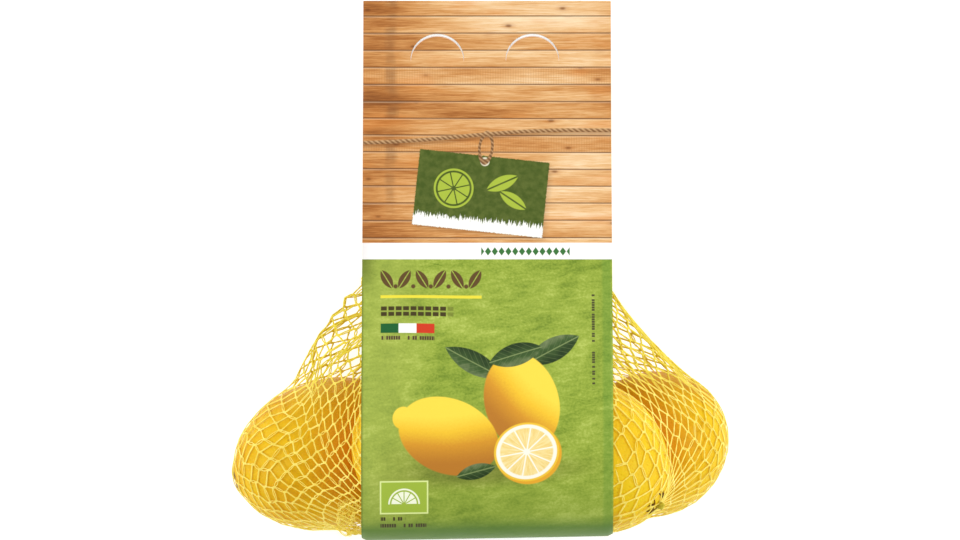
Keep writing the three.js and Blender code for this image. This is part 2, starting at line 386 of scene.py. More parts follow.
def math_node(operation):
    """A method of a wire that makes one Math node from it and what it is given."""

    def method(self, *others):
        return self.node("Math", 0, dict(enumerate((self, *others))), operation=operation)

    return method


class Wire(Nodes):
    """A number, vector or colour in a node tree. Arithmetic on it makes nodes."""

    __add__ = __radd__ = math_node("ADD")
    __sub__ = math_node("SUBTRACT")
    __mul__ = __rmul__ = math_node("MULTIPLY")
    __abs__ = math_node("ABSOLUTE")
    floor = math_node("FLOOR")
    fraction = math_node("FRACT")
    sine = math_node("SINE")
    arctangent = math_node("ARCTAN2")
    larger = math_node("MAXIMUM")
    near = math_node("COMPARE")

    def __init__(self, tree, socket):
        super().__init__(tree)
        self.socket = socket

    def __rsub__(self, other):
        return self.node("Math", 0, {0: other, 1: self}, operation="SUBTRACT")

    def equals(self, number):
        """1 where the value is this whole number, and 0 elsewhere."""
        return self.near(number, 0.2)

    def over(self, low, high):
        """0 below low and 1 above high, with a smooth rise between. It falls if high is lower."""
        values = {
            "Value": self,
            "From Min": min(low, high),
            "From Max": max(low, high),
            "To Min": float(high < low),
            "To Max": float(high >= low),
        }
        return self.node("MapRange", "Result", values, interpolation_type="SMOOTHSTEP")

    def parts(self):
        split = self.node("SeparateXYZ", 0, {0: self}).socket.node
        return [Wire(self.tree, output) for output in split.outputs]

    def length(self):
        return self.node("VectorMath", "Value", {0: self}, operation="LENGTH")

    def inside_of(self, centre, size, angle=0.0):
        """The place as seen from a shape: its middle is 0 and its half sizes are 1."""
        values = {
            "Vector": self,
            "Location": (*centre, 0),
            "Rotation": (0, 0, math.radians(angle)),
            "Scale": (*size, 1),
        }
        return self.node("Mapping", "Vector", values, vector_type="TEXTURE")

    def noise(self, scale, detail=3.0, roughness=0.5, distortion=0.0):
        values = {"Scale": scale, "Detail": detail, "Roughness": roughness, "Distortion": distortion}
        return self.node("TexNoise", "Fac", {"Vector": self, **values})

    def cells(self, scale, feature="F1"):
        return self.node("TexVoronoi", "Distance", {"Vector": self, "Scale": scale}, feature=feature)

    def chance(self):
        """A random number for each whole value."""
        return self.node("TexWhiteNoise", "Value", {"W": self}, noise_dimensions="1D")

    def ramp(self, *stops):
        """A colour from stops of a value, and red, green and blue in 0 to 255."""
        made = self.node("ValToRGB", "Color", {"Fac": self})
        elements = made.socket.node.color_ramp.elements
        while len(elements) < len(stops):
            elements.new(0.5)
        for element, (place, *colour) in zip(elements, stops):
            element.position = place
            element.color = srgb(*colour)
        return made

    def mix(self, start, end):
        """From one colour to another as this number goes from 0 to 1."""
        start, end = (part if isinstance(part, Wire) else srgb(*part) for part in (start, end))
        return self.node("Mix", 2, {"Factor": self, 6: start, 7: end}, data_type="RGBA")


class Finish(Nodes):
    """A new material and its one shader."""

    def __init__(self, name, **values):
        self.material = bpy.data.materials.new(name)
        self.material.use_nodes = True
        super().__init__(self.material.node_tree)
        self.shader = self.tree.nodes["Principled BSDF"]
        self.set(**values)

    def set(self, **values):
        for socket, value in values.items():
            self.plug(self.shader.inputs[socket.replace("_", " ")], value)

    def place(self):
        """Object coordinates, in metres."""
        return self.node("TexCoord", "Object")

    def attribute(self, name):
        return self.node("Attribute", "Fac", attribute_name=name)

    def vector(self, x, y, z=0.0):
        return self.node("CombineXYZ", 0, {0: x, 1: y, 2: z})

    def bump(self, height, distance, strength=1.0):
        values = {"Strength": strength, "Distance": distance, "Height": height}
        self.set(Normal=self.node("Bump", "Normal", values))


# ---- peel, calyx, thread and floor


def peel_finish():
    """Waxy peel: yellow with orange patches, pores, and a brown scar at the blossom end. Painted
    shade turns it deeper orange between lemons and towards the header, and a faint orange glow is
    painted light.
    """
    peel = Finish(
        "lemon_peel",
        Subsurface_Weight=0.12,
        Subsurface_Scale=0.004,
        Subsurface_Radius=(1.0, 0.5, 0.08),
        Specular_IOR_Level=0.11,
        # Painted light: a faint orange glow in the peel's own colour, which lifts and warms it where
        # it lies in shade.
        Emission_Color=srgb(230, 150, 12),
        Emission_Strength=0.065,
    )
    place = peel.place()
    # Each lemon's ripeness, together with painted shade towards the header, deepens the patches to
    # orange.
    patches = place.noise(38, 4, 0.55) * 0.7 + peel.attribute("ripeness_and_shade") * 0.5
    yellows = (0.30, 232, 201, 30), (0.55, 226, 186, 24)
    colour = patches.ramp(*yellows, (0.80, 212, 156, 18), (1.00, 224, 138, 12))
    # Painted shade: the peel turns deep orange where another lemon lies close, as in the shade
    # between them.
    colour = (peel.attribute("crevice_shade") * 0.8).mix(colour, (208, 112, 18))
    pores = place.cells(760, "SMOOTH_F1")
    deeper = (place.noise(300, 2) * 0.25).mix(colour, (214, 130, 12))
    colour = pores.over(0.35, 0.08).mix(colour, deeper)
    specks = place.cells(170).over(0.13, 0.05) * place.noise(60, 2).over(0.58, 0.66)
    colour = (specks * 0.55).mix(colour, (150, 96, 30))
    scar = peel.attribute("reach").over(0.965, 0.99) * place.noise(420).over(0.35, 0.6)
    peel.set(Base_Color=scar.mix(colour, (92, 58, 30)))
    peel.set(Roughness=place.noise(900, 2) * 0.16 + 0.32)
    peel.bump(pores.over(0.0, 0.55) * 0.8 + place.noise(150) * 0.9, 0.00022, 0.8)
    return peel.material


def calyx_finish():
    """A dry calyx: brown at its edge and still green-yellow in the middle."""
    calyx = Finish("calyx", Roughness=0.75, Specular_IOR_Level=0.1)
    streaks = calyx.place().noise(900, 4, 0.65)
    middle = streaks.ramp((0.36, 168, 140, 34), (0.60, 204, 192, 54))
    edge = streaks.ramp((0.36, 58, 28, 8), (0.60, 124, 72, 22))
    calyx.set(Base_Color=calyx.attribute("reach").over(0.4, 0.8).mix(middle, edge))
    calyx.bump(streaks, 0.0004)
    return calyx.material


def netting_finish():
    """Pale yellow plastic thread, a little see-through and finely ribbed, with a faint glow of its
    own colour painted in as light.
    """
    netting = Finish(
        "netting",
        Roughness=0.4,
        Specular_IOR_Level=0.22,
        # Painted light: a faint glow in the thread's own colour lifts its shaded sides and knots.
        Emission_Color=srgb(226, 200, 56),
        Emission_Strength=0.18,
        Subsurface_Weight=0.15,
        Subsurface_Scale=0.0006,
        Subsurface_Radius=(1.0, 0.8, 0.3),
    )
    place = netting.place()
    tone = place.noise(120)
    drawn = tone.ramp((0.35, 228, 206, 84), (0.60, 240, 226, 118))
    slack = tone.ramp((0.35, 208, 188, 42), (0.60, 228, 208, 72))
    netting.set(Base_Color=place.parts()[1].over(-0.056, -0.040).mix(drawn, slack))
    netting.bump(place.noise(2600, 2), 0.0001)
    return netting.material


def make_floor():
    white = (1, 1, 1, 1)
    paper = Finish("floor_paper", Roughness=0.9, Emission_Color=white, Emission_Strength=0.45)
    paper.set(Base_Color=(0.9, 0.9, 0.9, 1))
    shape = bmesh.new()
    bmesh.ops.create_grid(shape, x_segments=1, y_segments=1, size=40)
    floor = linked("floor", mesh_of(shape, "floor"))
    floor.location.z = -0.0002
    floor.data.materials.append(paper.material)


# ---- the print on the film

WOOD_END_Y = 11.2
PANEL_START_Y = 4.3
PLANK_TOP_Y = 107.54
PLANK_PITCH = 7.247
SAW_PITCH = 1.07
DARK_PLANK = 5
SAWN_PLANKS = (3, 7)
# Paler patches of wood: middle, half sizes, where each fades out and is full, and how much.
PALE_WOOD = (
    ((22, 112), (46, 20), (1.3, 0.2), 0.24),
    ((44, 34), (30, 40), (1.35, 0.1), 0.11),
    ((20, 76), (34, 15), (1.2, 0.3), 0.12),
)
TAG_MIDDLE = (0.5, 32.0)
TAG_HALVES = (27.5, 16.0)
TAG_TILT = -6.0
TAG_SIGN = (170, 190, 66)
TAG_LEAVES = (((9.5, 36.2), (7.4, 2.9), 24), ((14.0, 28.8), (6.8, 2.7), -34))
EYELET = (2.2, 45.4)
LEAF_PITCH = 7.4
TITLE_BROWN = (98, 74, 42)
RIBBON = ((30, 96, 48), (252, 252, 248), (209, 60, 34))
SIGN_MIDDLE = (-31.5, -94.3)


class Print(Finish):
    """The printed film. Its map gives the place on the front in millimetres, as (x, y)."""

    def __init__(self, name, **values):
        super().__init__(name, **values)
        self.across, self.length, _ = self.node("UVMap", "UV", uv_map="print").parts()
        self.back = self.length.over(-BACK_SHIFT / 2, -BACK_SHIFT / 2 - 1)
        self.front = 1 - self.back
        self.along = self.length + self.back * BACK_SHIFT
        self.spot = self.vector(self.across, self.along)
        self.front_spot = self.vector(self.across, self.length)
        self.colour = None

    def cover(self, mask, colour):
        self.colour = mask.mix(self.colour, colour)

    def tinted(self, colour, *tints):
        for mask, tint in tints:
            colour = mask.mix(colour, tint)
        return colour

    def grain(self, x, y, z, detail=3.0, roughness=0.5, distortion=0.0):
        """Noise over places worked out from the print's own."""
        return self.vector(x, y, z).noise(1.0, detail, roughness, distortion)

    def away(self, centre, radii, angle=0.0):
        """How far off an ellipse's middle a place is, where 1 is its edge."""
        return self.front_spot.inside_of(centre, radii, angle).length()

    def disc(self, centre, radii, angle=0.0, soft=0.25):
        edge = soft / min(radii)
        return self.away(centre, radii, angle).over(1 + edge, 1 - edge)

    def bar(self, centre, halves, angle=0.0, soft=0.15):
        x, y, _ = self.front_spot.inside_of(centre, halves, angle).parts()
        return self.inside_bar(x, y, halves, soft)

    def inside_bar(self, x, y, halves, soft=0.15):
        width, height = soft / halves[0], soft / halves[1]
        return abs(x).over(1 + width, 1 - width) * abs(y).over(1 + height, 1 - height)

    def leaf(self, centre, halves, angle, soft=0.2):
        """A pointed leaf: where two discs, above and below its midrib, lie over each other."""
        x, y, _ = self.front_spot.inside_of(centre, (1, 1), angle).parts()
        length, width = halves
        radius = (length**2 + width**2) / (2 * width)
        bow = self.vector(x, abs(y) + (radius - width)).length().over(radius + soft, radius - soft)
        return bow, x, y

    def dashes(self, centre, halves, pitch, gaps=0.3, angle=0.0):
        """A row of short dashes, as small print looks from a step away."""
        x, y, _ = self.front_spot.inside_of(centre, halves, angle).parts()
        place = x * (halves[0] / pitch)
        mark = place.floor().chance().over(gaps, gaps + 0.01)
        mark = mark * abs(place.fraction() - 0.5).over(0.46, 0.34)
        return self.inside_bar(x, y, halves) * mark


def wood(film):
    """Pale planks across the band, with grain, knots and dark joints."""
    x, y = film.across, film.along
    row = y * (-1 / PLANK_PITCH) + PLANK_TOP_Y / PLANK_PITCH
    plank = row.floor()
    within = row.fraction()
    tone = plank.chance()
    grain = film.grain(x * 0.07 + plank * 3.7, y * 1.9 + plank * 11, plank * 5.3, 6, 0.62, 0.5)
    broad = film.grain(x * 0.02 + tone * 9, y * 0.16, tone * 4)
    fibre = film.grain(x * 0.22 + plank * 1.9, y * 5.2, plank * 2.3, 3, 0.6)
    shade = grain * 0.62 + fibre * 0.3 + broad * 0.62 + tone * 0.14 - 0.33
    for centre, halves, fade, lift in PALE_WOOD:
        shade = shade + film.away(centre, halves).over(*fade) * lift
    shade = shade - x.over(-22, -46) * 0.13 - plank.equals(DARK_PLANK) * 0.14
    dark = (0.14, 126, 72, 34), (0.32, 176, 112, 56), (0.48, 210, 150, 88)
    colour = shade.ramp(*dark, (0.64, 234, 188, 132), (0.84, 250, 224, 184))
    warm = film.grain(x * 0.03, y * 0.12, 3.1, 2)
    knots = film.vector(x * 0.07, y * 0.15, plank * 2.9).cells(1.0)
    saw = (x * (2 * math.pi / SAW_PITCH)).sine() * 0.5 + 0.5
    first, second = (plank.equals(number) for number in SAWN_PLANKS)
    smudge = abs(x + film.grain(x * 0.2, y * 0.08, 1.7) * 5 + 35).over(3.4, 0.5)
    smudge = smudge * y.over(18, 40) * broad.over(0.3, 0.62)
    lit = within.over(0.14, 0.07)
    joint = abs(within - 0.5).over(0.452, 0.474)
    return film.tinted(
        colour,
        (warm.over(0.52, 0.75) * 0.35, (224, 138, 62)),
        (knots.over(0.30, 0.08) * 0.3, (176, 104, 48)),
        (knots.over(0.14, 0.03) * 0.75, (120, 70, 34)),
        (saw * first.larger(second) * 0.22, (176, 112, 60)),
        (smudge * 0.4, (104, 66, 44)),
        (lit * 0.22, (255, 228, 188)),
        (joint * 0.72, (92, 58, 36)),
    )


def plaster(film):
    """The green panel: mottled brush strokes, with painted shade darker at both edges, in the
    top-left corner and towards the fold.
    """
    x, y = film.across, film.along
    cloud = film.grain(x * 0.045, y * 0.05, 2.0, 4, 0.6, 0.8)
    strokes = film.grain(x * 0.10 + y * 0.05, y * 0.32 - x * 0.06, 7.0, 4, 0.65, 0.4)
    fine = film.grain(x * 0.9, y * 1.1, 5.0, 3, 0.6)
    scratches = film.grain(x * 0.05 - y * 0.03, y * 0.9 + x * 0.2, 9.0, 4, 0.7, 1.2)
    shade = cloud * 0.8 + strokes * 0.7 + fine * 0.6 - scratches.over(0.60, 0.72) * 0.12 - 0.57
    dark = (0.22, 112, 138, 44), (0.40, 140, 162, 58)
    colour = shade.ramp(*dark, (0.54, 156, 176, 68), (0.72, 182, 198, 94))
    # Painted shade: darker along the left edge of the film and in the panel's top-left corner.
    left_edge_shade = (x.over(-41, -49.4) * y.over(-14, 2)).larger(x.over(-48.2, -49.4))
    return film.tinted(
        colour,
        # Painted shade: a darker strip near the right edge of the film.
        (x.over(50.6, 52.2) * x.over(55.4, 54.4) * 0.4, (96, 144, 54)),
        (x.over(-16, -40) * 0.3, (178, 188, 92)),
        (left_edge_shade * 0.8 * film.front, (104, 118, 44)),
        # Painted shade: darker towards the fold, and darkest on the foot where the film curves round
        # it.
        (y.over(-82, -100) * 0.28, (120, 146, 56)),
        (y.over(-102, -109.5) * film.front * 0.82, (74, 114, 36)),
    )


def hang_tag(film):
    """A green tag hanging from a length of twine, with a citrus wheel, leaves and a white fringe."""
    x, y, _ = film.front_spot.inside_of(TAG_MIDDLE, (1, 1), TAG_TILT).parts()
    ragged = (film.front_spot.noise(1.6, 3, 0.7) * 1.8 - 0.9) * 0.7
    tag = abs(x + ragged).over(TAG_HALVES[0] + 0.2, TAG_HALVES[0] - 0.2)
    tag = tag * abs(y + ragged).over(TAG_HALVES[1] + 0.2, TAG_HALVES[1] - 0.2)
    shaded = (TAG_MIDDLE[0] + 0.8, TAG_MIDDLE[1] - 1.2)
    film.cover(film.bar(shaded, TAG_HALVES, TAG_TILT, 2.2) * 0.35, (96, 60, 36))
    film.cover(tag, film.spot.noise(0.35).ramp((0.35, 72, 90, 32), (0.65, 92, 106, 46)))
    blades = film.grain(x * 1.9, y * 0.22, 3.0, 3, 0.7) * 9 - 4.5
    film.cover((y + blades).over(-10.8, -11.6) * tag, (250, 250, 244))
    wheel = film.front_spot.inside_of((-11.0, 34.0), (8.4, 8.4), 12)
    film.cover(wheel_mask(wheel, 8, 8.4), TAG_SIGN)
    for leaf in TAG_LEAVES:
        blade, _, side = film.leaf(*leaf)
        film.cover(blade * abs(side).over(0.25, 0.45), TAG_SIGN)
    film.cover(film.disc(EYELET, (1.9, 1.9)), (228, 222, 196))
    film.cover(film.disc(EYELET, (1.0, 1.0)), (120, 78, 44))


def wheel_mask(local, count, radius):
    """The segments and the rim of a citrus wheel: 1 in them and 0 in the white between them."""
    x, y, _ = local.parts()
    away = local.length()
    turn = y.arctangent(x) * (count / (2 * math.pi)) + count
    side = abs(turn.fraction() - 0.5) * away
    gap = count / 40
    soft = 0.15 / radius
    segments = (0.5 * away - side).over(gap * 0.16, gap * 0.24)
    segments = segments * away.over(0.80 + soft, 0.80 - soft) * away.over(0.10, 0.14)
    return segments.larger(away.over(1 + soft, 1 - soft) * away.over(0.90 - soft, 0.90 + soft))


def twine(film):
    """A twisted cord stretched over the planks, with a small loop through the tag's eyelet."""
    x, y = film.across, film.length
    line = y - ((x * 0.05 + 0.4).sine() * 1.1 + x * 0.045 + 56.6)
    loop = abs(film.away((2.6, 51.4), (2.7, 6.2), -6) - 1).over(0.26, 0.14)
    cord = abs(line).over(1.0, 0.6).larger(loop)
    ply = (x * 2.6 + y * 3.4).sine() * 0.225 + 0.225
    shade = ply + film.grain(x * 0.6, y * 2.4, 1.0, 3, 0.7) * 0.6 + line.over(-0.9, 0.9) * 0.25
    tone = shade.ramp((0.25, 108, 74, 44), (0.60, 156, 116, 78), (0.95, 204, 166, 120))
    film.cover(abs(line + 1.1).over(1.9, 0.2) * 0.4 * film.front, (92, 56, 34))
    film.cover(cord * film.front, tone)


def drawn_lemon(film, centre, halves, angle, light_angle):
    """A painted lemon with a nipple, shaded from one side."""
    body = film.front_spot.inside_of(centre, halves, angle)
    turn = math.radians(angle)
    reach = halves[0] * 0.95
    tip = (centre[0] + math.cos(turn) * reach, centre[1] + math.sin(turn) * reach)
    nipple = film.disc(tip, (halves[0] * 0.2, halves[1] * 0.3), angle, 0.3)
    x, y, _ = body.parts()
    away = math.radians(light_angle) - turn
    light = x * math.cos(away) + y * math.sin(away) - body.length() * 0.15
    shade = (light + film.spot.noise(1.1, 3, 0.6) * 0.22).over(-0.95, 1.0)
    dark = (0.05, 186, 122, 44), (0.35, 216, 152, 46)
    tone = shade.ramp(*dark, (0.62, 243, 196, 52), (0.85, 252, 220, 76))
    film.cover(body.length().over(1.02, 0.98).larger(nipple), tone)


def drawn_wheel(film, centre, halves, angle):
    """A painted slice of lemon: peel, pith and ten segments of pale flesh."""
    peel = film.away((centre[0] + 0.9, centre[1] - 1.1), halves, angle)
    local = film.front_spot.inside_of(centre, halves, angle)
    away = local.length()
    x, y, _ = local.parts()
    turn = y.arctangent(x) * (10 / (2 * math.pi)) + 10
    side = (0.5 - abs(turn.fraction() - 0.5)) * away
    flesh = side.over(0.02, 0.05) * away.over(0.84, 0.79) * away.over(0.08, 0.13)
    streaks = film.grain(turn * 6, away * 2.2, 4, 3, 0.6)
    tone = streaks.ramp((0.3, 240, 206, 118), (0.55, 249, 226, 154), (0.75, 255, 240, 196))
    film.cover(peel.over(1.03, 0.99), (232, 170, 48))
    film.cover(away.over(1.02, 0.98), (243, 200, 62))
    film.cover(away.over(0.95, 0.91), (252, 249, 232))
    film.cover(flesh, tone)


def drawn_leaf(film, centre, halves, angle):
    blade, along, side = film.leaf(centre, halves, angle)
    veins = abs((along * 1.1 - abs(side) * 1.4).sine()).over(0.10, 0.28)
    shade = film.spot.noise(0.3) * 0.5 + side.over(-halves[1], halves[1]) * 0.5
    film.cover(blade, shade.ramp((0.25, 40, 60, 30), (0.6, 66, 92, 48), (0.85, 120, 134, 92)))
    film.cover(blade * (1 - veins) * 0.25, (132, 150, 96))
    film.cover(blade * abs(side).over(0.32, 0.14) * 0.7, (140, 158, 100))


def still_life(film):
    """Two lemons under a leafy twig, with a slice lying in front of them."""
    film.cover(film.disc((4, -84.5), (34, 5.2), 3, 3.4) * 0.42, (92, 84, 44))
    film.cover(film.disc((-12, -80), (22, 6.0), -4, 4.0) * 0.25, (92, 84, 44))
    drawn_leaf(film, (-2.5, -38.5), (13.5, 4.6), 152)
    drawn_leaf(film, (30.5, -33.5), (12.5, 4.8), 28)
    drawn_lemon(film, (17.5, -55.0), (20.5, 15.4), -74, 55)
    drawn_leaf(film, (15.0, -35.5), (11.5, 4.6), 196)
    drawn_lemon(film, (-13.0, -69.0), (21.5, 15.6), 158, 100)
    drawn_wheel(film, (19.5, -76.0), (13.6, 12.4), 10)
    drawn_leaf(film, (-1.5, -84.0), (8.5, 3.2), 14)


def titles(film):
    """Rows of small shapes where a pack has its words, a yellow rule, and a coloured ribbon."""
    for number in range(6):
        centre = (number * LEAF_PITCH - 39.0, -4.1)
        blade, _, side = film.leaf(centre, (4.6, 2.1), 58 if number % 2 else 122)
        film.cover(blade * abs(side).over(0.12, 0.3), TITLE_BROWN)
    for number in range(5):
        film.cover(film.disc((number * LEAF_PITCH - 35.3, -7.1), (0.9, 0.9)), TITLE_BROWN)
    film.cover(film.bar((-20.4, -11.4), (21.2, 0.62)), (236, 222, 66))
    film.cover(film.dashes((-26.2, -17.5), (15.4, 2.0), 3.1, 0.0), (70, 60, 30))
    film.cover(film.bar((-26.2, -17.5), (15.6, 0.32)), (152, 170, 70))
    for number, colour in enumerate(RIBBON):
        film.cover(film.bar((number * 7.5 - 37.7, -24.6), (3.75, 1.95)), colour)
    film.cover(film.dashes((-30.2, -28.6), (11.3, 0.8), 1.0, 0.25), (86, 66, 48))
    film.cover(film.dashes((47.5, -30.2), (20.2, 0.62), 1.0, 0.3, 90), (78, 76, 46))


def foot_sign(film):
    """A light green sign with a white border and half a citrus wheel, over two rows of dashes."""
    film.cover(film.bar(SIGN_MIDDLE, (10.1, 6.9)), (226, 240, 158))
    film.cover(film.bar(SIGN_MIDDLE, (9.5, 6.3)), (161, 187, 66))
    half = film.front_spot.inside_of((SIGN_MIDDLE[0], SIGN_MIDDLE[1] - 2.9), (6.6, 6.6))
    film.cover(wheel_mask(half, 12, 6.6) * half.parts()[1].over(0.0, 0.04), (246, 250, 224))
    film.cover(film.dashes((-36.2, -103.2), (5.2, 0.75), 1.0, 0.2), (70, 62, 34))
    film.cover(film.dashes((-31.8, -106.1), (9.6, 0.85), 1.0, 0.2), (70, 62, 34))


def lozenges(film):
    """A row of small dark green lozenges on the white stripe."""
    halves = (18.6, 1.9)
    x, y, _ = film.front_spot.inside_of((19.2, 7.6), halves).parts()
    shape = abs((x * 6.5).fraction() - 0.5) * 2 + abs(y)
    film.cover(shape.over(0.98, 0.86) * film.inside_bar(x, y, halves), (62, 118, 62))


def printed_film():
    film = Print("printed_film", Specular_IOR_Level=0.1)
    film.colour = plaster(film)
    film.cover(film.along.over(PANEL_START_Y - 0.15, PANEL_START_Y + 0.15), (253, 251, 249))
    left_shade = film.across.over(-44, -49.4) * film.along.over(PANEL_START_Y, PANEL_START_Y + 0.2)
    film.cover(left_shade * 0.5, (226, 220, 218))
    film.cover(film.along.over(WOOD_END_Y - 0.15, WOOD_END_Y + 0.15), wood(film))
    for draw in (lozenges, hang_tag, twine, still_life, titles, foot_sign):
        draw(film)
    waves = film.place().noise(60)
    film.set(Base_Color=film.colour, Roughness=waves * 0.12 + 0.42)
    film.bump(film.place().noise(240, 2) * 0.5 + waves, 0.0006, 0.25)
    return film.material


def film_inside():
    """The film's unprinted inside and its cut edges."""
    inside = Finish("film_inside", Roughness=0.45)
    tone = inside.place().noise(90)
    inside.set(Base_Color=tone.ramp((0.4, 246, 245, 242), (0.6, 253, 252, 250)))
    return inside.material


# ---- the lemons


def lemon_turn(heading, rise):
    """The turn that lays +X along a lemon, towards its blossom end."""
    heading, rise = math.radians(heading), math.radians(rise)
    flat = math.cos(rise)
    axis = Vector((math.cos(heading) * flat, math.sin(heading) * flat, math.sin(rise)))
    return Vector((1, 0, 0)).rotation_difference(axis).to_matrix()


def lemon_radius(share, radius):
    """The radius at a share of the half length, from -1 at the stem to 1 at the blossom end."""
    total = 0
    for centre, half, width in LEMON_OUTLINE:
        inside = max(1 - ((share - centre) / half) ** 2, 0)
        total += (radius * width * math.sqrt(inside)) ** 4
    return total**0.25


def make_lemon(number, name, centre, half_length, radius, heading, rise):
    shape = bmesh.new()
    profile = []
    for step in range(LEMON_STEPS + 1):
        share = STEM_END + (1 - STEM_END) * (0.5 - 0.5 * math.cos(math.pi * step / LEMON_STEPS))
        width = 0 if step in (0, LEMON_STEPS) else lemon_radius(share, radius)
        profile.append(shape.verts.new((share * half_length, width, 0)))
    edges = [shape.edges.new(pair) for pair in zip(profile, profile[1:])]
    whole_turn = {"cent": (0, 0, 0), "axis": (1, 0, 0), "angle": 2 * math.pi, "use_merge": True}
    bmesh.ops.spin(shape, geom=profile + edges, steps=LEMON_SIDES, **whole_turn)
    bmesh.ops.remove_doubles(shape, verts=shape.verts, dist=0.001)
    bmesh.ops.recalc_face_normals(shape, faces=shape.faces)
    reach = [v.co.x / half_length * SCARS[number] for v in shape.verts]
    for v in shape.verts:
        place = v.co / radius + Vector((number * 7.3, 0, 0))
        lumps = noise.noise(place * 1.7) * 0.5 + noise.noise(place * 5.0) * 0.15
        v.co += v.normal * (lumps - 0.35)
    place = Matrix.Translation(centre) @ lemon_turn(heading, rise).to_4x4()
    spin = Matrix.Rotation(number * 1.1, 4, "X")
    bmesh.ops.transform(shape, matrix=place @ spin, verts=shape.verts)
    piece = finished(shape, name, PEEL)
    places = gathered(piece.data.vertices, "co", 3) / MM
    # Painted shade: the peel is deeper orange towards the header, where it lies in shade under the
    # netting's fans.
    top_shade = SHADED_TOPS[number] * smoothstep(*SHADED_TOP_Y, places[:, 1])
    add_attribute(piece, "reach", reach)
    add_attribute(piece, "ripeness_and_shade", RIPENESS[number] + top_shade)
    add_attribute(piece, "crevice_shade", crevice_shade(places, number))
    make_calyx(number, name.replace("lemon", "calyx"), place, half_length)


def crevice_shade(places, number):
    """Painted shade between lemons: 1 where another lemon is near, falling to 0 a finger's width
    away from it.
    """
    nearest = np.full(len(places), 99.0)
    for other, (centre, axis, cosines, reach) in enumerate(FORMS):
        if other == number:
            continue
        away = places - centre
        distance = norm(away)
        gap = distance - np.interp(away @ axis / distance, cosines, reach)
        nearest = np.minimum(nearest, gap)
    return smoothstep(CREVICE_SHADE_REACH, 1, nearest)


def make_calyx(number, name, place, half_length):
    """The dry star at the stem end, with the stub of the stem in it."""
    shape = bmesh.new()
    bmesh.ops.create_circle(shape, cap_ends=True, segments=40, radius=CALYX_RADIUS)
    for v in shape.verts:
        angle = math.atan2(v.co.y, v.co.x)
        v.co *= 1 + 0.32 * math.cos(5 * angle + number)
    bmesh.ops.inset_region(shape, faces=shape.faces[:], thickness=1.4)
    rise = bmesh.ops.extrude_face_region(shape, geom=shape.faces[:])
    for v in vertices_of(rise):
        v.co.z += 0.7 + 0.4 * noise.noise(v.co * 0.8)
    sizes = {"segments": 14, "radius1": 1.7, "radius2": 1.35, "depth": 2.2}
    stub = bmesh.ops.create_cone(shape, cap_ends=True, **sizes)
    bmesh.ops.translate(shape, verts=stub["verts"], vec=(0, 0, 1.3))
    for v in shape.verts:
        v.co.z -= 0.06 * (v.co.x**2 + v.co.y**2)
    reach = [math.hypot(v.co.x, v.co.y) / CALYX_RADIUS for v in shape.verts]
    outward = Matrix.Rotation(-math.pi / 2, 4, "Y")
    seat = Matrix.Translation((CALYX_SEAT * half_length, 0, 0))
    bmesh.ops.transform(shape, matrix=place @ seat @ outward, verts=shape.verts)
    bmesh.ops.recalc_face_normals(shape, faces=shape.faces)
    add_attribute(finished(shape, name, CALYX), "reach", reach)


# ---- the netting


def lemon_forms():
    """Each lemon's centre and axis, and its reach from the centre by the cosine of the direction."""
    shares = -np.cos(np.linspace(0, np.pi, 160))
    for _, centre, half_length, radius, heading, rise in LEMONS:
        width = np.array([lemon_radius(share, radius) for share in shares])
        reach = np.hypot(shares * half_length, width)
        axis = np.array(lemon_turn(heading, rise))[:, 0]
        yield np.array(centre, float), axis, shares * half_length / reach, reach


FORMS = list(lemon_forms())


def push_out(points, stand_off):
    """Moves points that are inside a lemon out to its peel."""
    for centre, axis, cosines, reach in FORMS:
        away = points - centre
        distance = np.maximum(norm(away), 1e-6)
        wanted = np.interp(away @ axis / distance, cosines, reach) + stand_off
        points = centre + away * np.maximum(wanted / distance, 1)[..., None]
    return points


def inner_height(line):
    """Height as a function of y on the inside of a ply."""
    inside = line + left_of(line) * (PLY + GAP)
    inside = inside[np.argsort(inside[:, 0], kind="stable")]
    return lambda y: np.interp(y, inside[:, 0], inside[:, 1])


UPPER_INSIDE = inner_height(UPPER_LINE)
LOWER_INSIDE = inner_height(LOWER_LINE)


def keep_inside(points):
    """Keeps points above the floor and, where the band passes, inside the film."""
    x, y, z = np.moveaxis(points, -1, 0)
    clear = smoothstep(BAND_MARGIN, CLEAR_MARGIN, beside_band(x))
    z = np.maximum(z, 0)
    skew = skew_at(x, y)
    y = np.maximum(y, lerp(FOLD_Y + PLY + GAP + skew, y, clear))
    flat_top = UPPER_INSIDE(y - skew)
    top = flat_top - edge_drop_at(x, flat_top)
    held = np.minimum(np.maximum(z, LOWER_INSIDE(y - skew)), top)
    return np.stack([x, y, lerp(held, z, clear)], axis=-1)


def bulge_fans(points):
    """Moves both fans outwards, where the netting hangs slack."""
    x = points[..., 0]
    side = np.sign(x - BAND_CENTRE_X)
    along = np.clip((points[..., 1] - FAN_START_Y) / (FAN_END_Y - FAN_START_Y), 0, 1)
    swell = np.sin(np.pi * along) * smoothstep(0, FAN_MARGIN, beside_band(x))
    points = points.copy()
    points[..., 0] += side * swell * np.where(side < 0, *FAN_BULGES)
    return points


